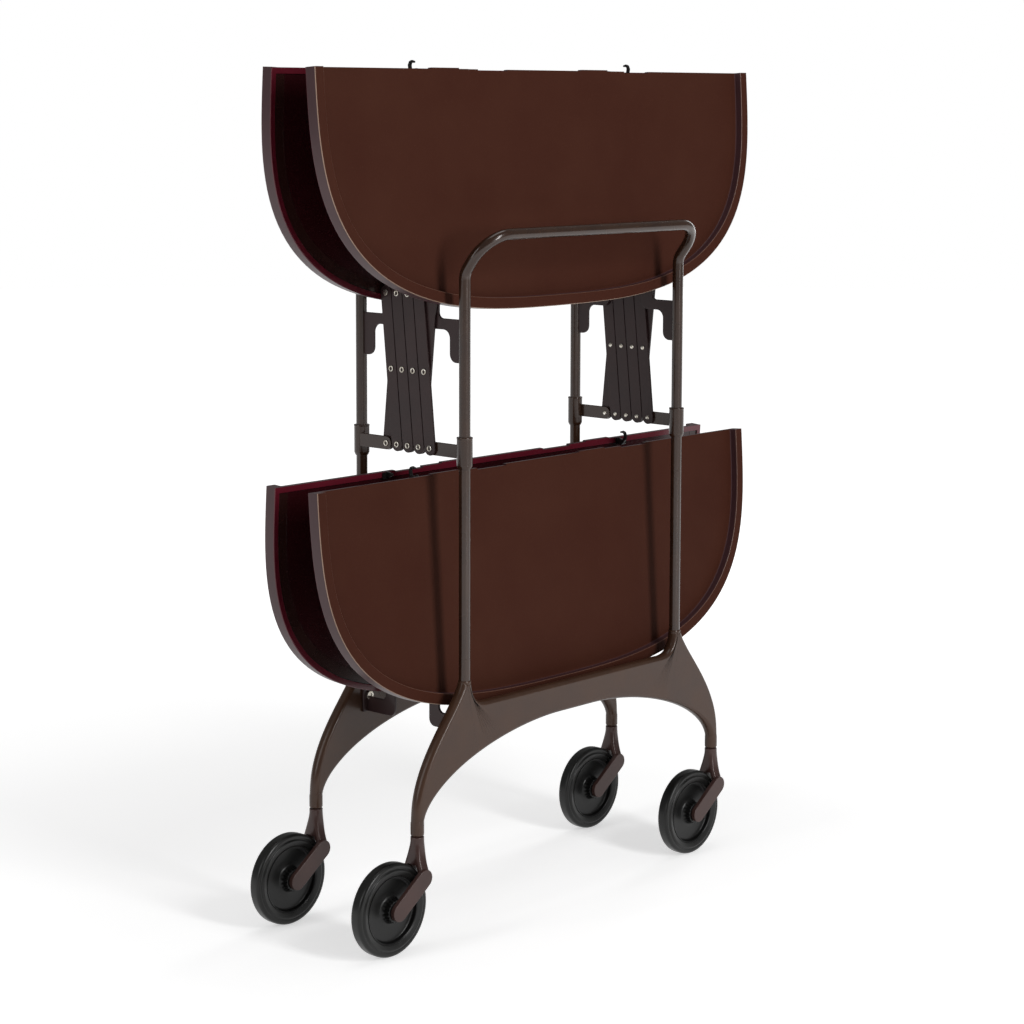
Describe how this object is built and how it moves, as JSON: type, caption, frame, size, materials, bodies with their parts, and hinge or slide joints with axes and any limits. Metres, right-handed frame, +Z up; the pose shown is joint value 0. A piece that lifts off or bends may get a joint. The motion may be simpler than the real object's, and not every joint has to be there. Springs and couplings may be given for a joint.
{
  "type": "folding serving trolley",
  "caption": "Folding serving trolley: two bronze tube frames on casters, cross-link lattices between them, and D-shaped brown leaves that swing up to make two round-cornered trays.",
  "frame": {"origin": "on the floor, midway between the two frames and midway along them", "axes": "+X along the straight edges of the leaves, +Y across the fold, +Z up"},
  "size_m": [0.69, 0.2254, 0.9068],
  "materials": {
    "tray_plastic": "satin brown moulded plastic, fine grain",
    "frame_paint": "bronze brown satin stove enamel",
    "casting_paint": "bronze brown satin enamel on a casting",
    "bracket_paint": "dark brown satin enamel",
    "link_paint": "dark brown satin enamel on steel strip",
    "sleeve_paint": "bronze brown satin enamel",
    "fitting_paint": "near black enamel on small stampings",
    "fork_paint": "bronze brown enamel on a die casting",
    "rivet_nickel": "nickel-plated steel",
    "wheel_plastic": "black moulded plastic",
    "tyre_rubber": "black rubber"
  },
  "bodies": {
    "near_frame": {"near_handle_tube": "frame_paint", "near_leg_casting": "casting_paint", "near_upper_brackets": "bracket_paint", "near_lower_brackets": "bracket_paint", "near_frame_fasteners": "rivet_nickel"},
    "far_frame": {"far_handle_tube": "frame_paint", "far_leg_casting": "casting_paint", "far_upper_brackets": "bracket_paint", "far_lower_brackets": "bracket_paint", "far_frame_fasteners": "rivet_nickel"},
    "near_top_links": {"near_top_links": "link_paint", "near_top_rivets": "rivet_nickel"},
    "near_foot_links": {"near_foot_links": "link_paint", "near_foot_rivets": "rivet_nickel"},
    "near_mid_links_a": {"near_mid_links_a": "link_paint", "near_mid_rivets_a": "rivet_nickel"},
    "near_mid_links_b": {"near_mid_links_b": "link_paint", "near_mid_rivets_b": "rivet_nickel"},
    "near_sleeves": {"near_sleeves": "sleeve_paint"},
    "near_upper_leaf": {"near_upper_leaf": "tray_plastic", "near_upper_fittings": "fitting_paint"},
    "near_upper_hook": {"near_upper_hook": "fitting_paint"},
    "near_lower_leaf": {"near_lower_leaf": "tray_plastic", "near_lower_fittings": "fitting_paint"},
    "near_lower_hook": {"near_lower_hook": "fitting_paint"},
    "near_left_fork": {"near_left_fork": "fork_paint", "near_left_axle": "rivet_nickel"},
    "near_left_wheel": {"near_left_hub": "wheel_plastic", "near_left_tyre": "tyre_rubber"},
    "near_right_fork": {"near_right_fork": "fork_paint", "near_right_axle": "rivet_nickel"},
    "near_right_wheel": {"near_right_hub": "wheel_plastic", "near_right_tyre": "tyre_rubber"},
    "far_top_links": {"far_top_links": "link_paint", "far_top_rivets": "rivet_nickel"},
    "far_foot_links": {"far_foot_links": "link_paint", "far_foot_rivets": "rivet_nickel"},
    "far_mid_links_a": {"far_mid_links_a": "link_paint", "far_mid_rivets_a": "rivet_nickel"},
    "far_mid_links_b": {"far_mid_links_b": "link_paint", "far_mid_rivets_b": "rivet_nickel"},
    "far_sleeves": {"far_sleeves": "sleeve_paint"},
    "far_upper_leaf": {"far_upper_leaf": "tray_plastic", "far_upper_fittings": "fitting_paint"},
    "far_upper_hook": {"far_upper_hook": "fitting_paint"},
    "far_lower_leaf": {"far_lower_leaf": "tray_plastic", "far_lower_fittings": "fitting_paint"},
    "far_lower_hook": {"far_lower_hook": "fitting_paint"},
    "far_left_fork": {"far_left_fork": "fork_paint", "far_left_axle": "rivet_nickel"},
    "far_left_wheel": {"far_left_hub": "wheel_plastic", "far_left_tyre": "tyre_rubber"},
    "far_right_fork": {"far_right_fork": "fork_paint", "far_right_axle": "rivet_nickel"},
    "far_right_wheel": {"far_right_hub": "wheel_plastic", "far_right_tyre": "tyre_rubber"}
  },
  "joints": [
    {"name": "fold", "type": "hinge", "parent": "near_frame", "child": "near_upper_leaf", "pos_m": [0, -0.03315, 0.67585], "axis": [-1, 0, 0], "range_deg": [0, 86.1]},
    {"name": "upper_leaf_join", "type": "hinge", "parent": "near_upper_leaf", "child": "far_upper_leaf", "pos_m": [0, 0, 0.89641], "axis": [1, 0, 0], "range_deg": [0, 172.22]},
    {"name": "far_upper_leaf_hinge", "type": "hinge", "parent": "far_upper_leaf", "child": "far_frame", "pos_m": [0, 0.03315, 0.67585], "axis": [-1, 0, 0], "range_deg": [0, 86.11]},
    {"name": "near_lower_leaf_hinge", "type": "hinge", "parent": "near_frame", "child": "near_lower_leaf", "pos_m": [0, -0.03315, 0.25576], "axis": [-1, 0, 0], "range_deg": [0, 86.11]},
    {"name": "far_lower_leaf_hinge", "type": "hinge", "parent": "far_frame", "child": "far_lower_leaf", "pos_m": [0, 0.03315, 0.25576], "axis": [1, 0, 0], "range_deg": [0, 86.11]},
    {"name": "near_top_link_pivot", "type": "hinge", "parent": "near_frame", "child": "near_top_links", "pos_m": [0, -0.032, 0.6659], "axis": [1, 0, 0], "range_deg": [0, 37.99]},
    {"name": "near_first_cross_pivot", "type": "hinge", "parent": "near_top_links", "child": "near_foot_links", "pos_m": [0, -0.024, 0.5863], "axis": [1, 0, 0], "range_deg": [-75.97, 0]},
    {"name": "near_sleeve_pivot", "type": "hinge", "parent": "near_foot_links", "child": "near_sleeves", "pos_m": [0, -0.032, 0.5067], "axis": [1, 0, 0], "range_deg": [0, 37.99]},
    {"name": "near_low_link_pivot", "type": "hinge", "parent": "near_top_links", "child": "near_mid_links_a", "pos_m": [0, -0.016, 0.5067], "axis": [1, 0, 0], "range_deg": [-75.97, 0]},
    {"name": "near_second_cross_pivot", "type": "hinge", "parent": "near_mid_links_a", "child": "near_mid_links_b", "pos_m": [0, -0.008, 0.5863], "axis": [1, 0, 0], "range_deg": [0, 75.97]},
    {"name": "near_upper_hook_pivot", "type": "hinge", "parent": "near_upper_leaf", "child": "near_upper_hook", "pos_m": [-0.1845, -0.01429, 0.89357], "axis": [1, 0, 0], "range_deg": [0, 38]},
    {"name": "near_lower_hook_pivot", "type": "hinge", "parent": "near_lower_leaf", "child": "near_lower_hook", "pos_m": [-0.1845, -0.01429, 0.47348], "axis": [1, 0, 0], "range_deg": [0, 38]},
    {"name": "near_left_swivel", "type": "hinge", "parent": "near_frame", "child": "near_left_fork", "pos_m": [-0.2435, -0.0758, 0.1169], "axis": [0, 0, 1], "continuous": true},
    {"name": "near_left_wheel_spin", "type": "hinge", "parent": "near_left_fork", "child": "near_left_wheel", "pos_m": [-0.2845, -0.0758, 0.0485], "axis": [0, 1, 0], "continuous": true},
    {"name": "near_right_swivel", "type": "hinge", "parent": "near_frame", "child": "near_right_fork", "pos_m": [0.2435, -0.0758, 0.1169], "axis": [0, 0, 1], "continuous": true},
    {"name": "near_right_wheel_spin", "type": "hinge", "parent": "near_right_fork", "child": "near_right_wheel", "pos_m": [0.2025, -0.0758, 0.0485], "axis": [0, 1, 0], "continuous": true},
    {"name": "far_top_link_pivot", "type": "hinge", "parent": "far_frame", "child": "far_top_links", "pos_m": [0, 0.032, 0.6659], "axis": [-1, 0, 0], "range_deg": [0, 37.99]},
    {"name": "far_first_cross_pivot", "type": "hinge", "parent": "far_top_links", "child": "far_foot_links", "pos_m": [0, 0.024, 0.5863], "axis": [-1, 0, 0], "range_deg": [-75.97, 0]},
    {"name": "far_sleeve_pivot", "type": "hinge", "parent": "far_foot_links", "child": "far_sleeves", "pos_m": [0, 0.032, 0.5067], "axis": [-1, 0, 0], "range_deg": [0, 37.99]},
    {"name": "far_low_link_pivot", "type": "hinge", "parent": "far_top_links", "child": "far_mid_links_a", "pos_m": [0, 0.016, 0.5067], "axis": [-1, 0, 0], "range_deg": [-75.97, 0]},
    {"name": "far_second_cross_pivot", "type": "hinge", "parent": "far_mid_links_a", "child": "far_mid_links_b", "pos_m": [0, 0.008, 0.5863], "axis": [-1, 0, 0], "range_deg": [0, 75.97]},
    {"name": "far_upper_hook_pivot", "type": "hinge", "parent": "far_upper_leaf", "child": "far_upper_hook", "pos_m": [0.1845, 0.01429, 0.89357], "axis": [-1, 0, 0], "range_deg": [0, 38]},
    {"name": "far_lower_hook_pivot", "type": "hinge", "parent": "far_lower_leaf", "child": "far_lower_hook", "pos_m": [0.1845, 0.01429, 0.47348], "axis": [-1, 0, 0], "range_deg": [0, 38]},
    {"name": "far_left_swivel", "type": "hinge", "parent": "far_frame", "child": "far_left_fork", "pos_m": [-0.2435, 0.0758, 0.1169], "axis": [0, 0, 1], "continuous": true},
    {"name": "far_left_wheel_spin", "type": "hinge", "parent": "far_left_fork", "child": "far_left_wheel", "pos_m": [-0.2845, 0.0758, 0.0485], "axis": [0, 1, 0], "continuous": true},
    {"name": "far_right_swivel", "type": "hinge", "parent": "far_frame", "child": "far_right_fork", "pos_m": [0.2435, 0.0758, 0.1169], "axis": [0, 0, 1], "continuous": true},
    {"name": "far_right_wheel_spin", "type": "hinge", "parent": "far_right_fork", "child": "far_right_wheel", "pos_m": [0.2025, 0.0758, 0.0485], "axis": [0, 1, 0], "continuous": true}
  ],
  "couplings": [
    {"joint": "upper_leaf_join", "follows": "fold", "ratio": 2},
    {"joint": "far_upper_leaf_hinge", "follows": "fold", "ratio": 1},
    {"joint": "near_lower_leaf_hinge", "follows": "fold", "ratio": 1},
    {"joint": "far_lower_leaf_hinge", "follows": "fold", "ratio": 1},
    {"joint": "near_top_link_pivot", "follows": "fold", "ratio": 0.4411},
    {"joint": "near_first_cross_pivot", "follows": "fold", "ratio": -0.8822},
    {"joint": "near_sleeve_pivot", "follows": "fold", "ratio": 0.4411},
    {"joint": "near_low_link_pivot", "follows": "fold", "ratio": -0.8822},
    {"joint": "near_second_cross_pivot", "follows": "fold", "ratio": 0.8822},
    {"joint": "far_top_link_pivot", "follows": "fold", "ratio": 0.4411},
    {"joint": "far_first_cross_pivot", "follows": "fold", "ratio": -0.8822},
    {"joint": "far_sleeve_pivot", "follows": "fold", "ratio": 0.4411},
    {"joint": "far_low_link_pivot", "follows": "fold", "ratio": -0.8822},
    {"joint": "far_second_cross_pivot", "follows": "fold", "ratio": 0.8822}
  ]
}
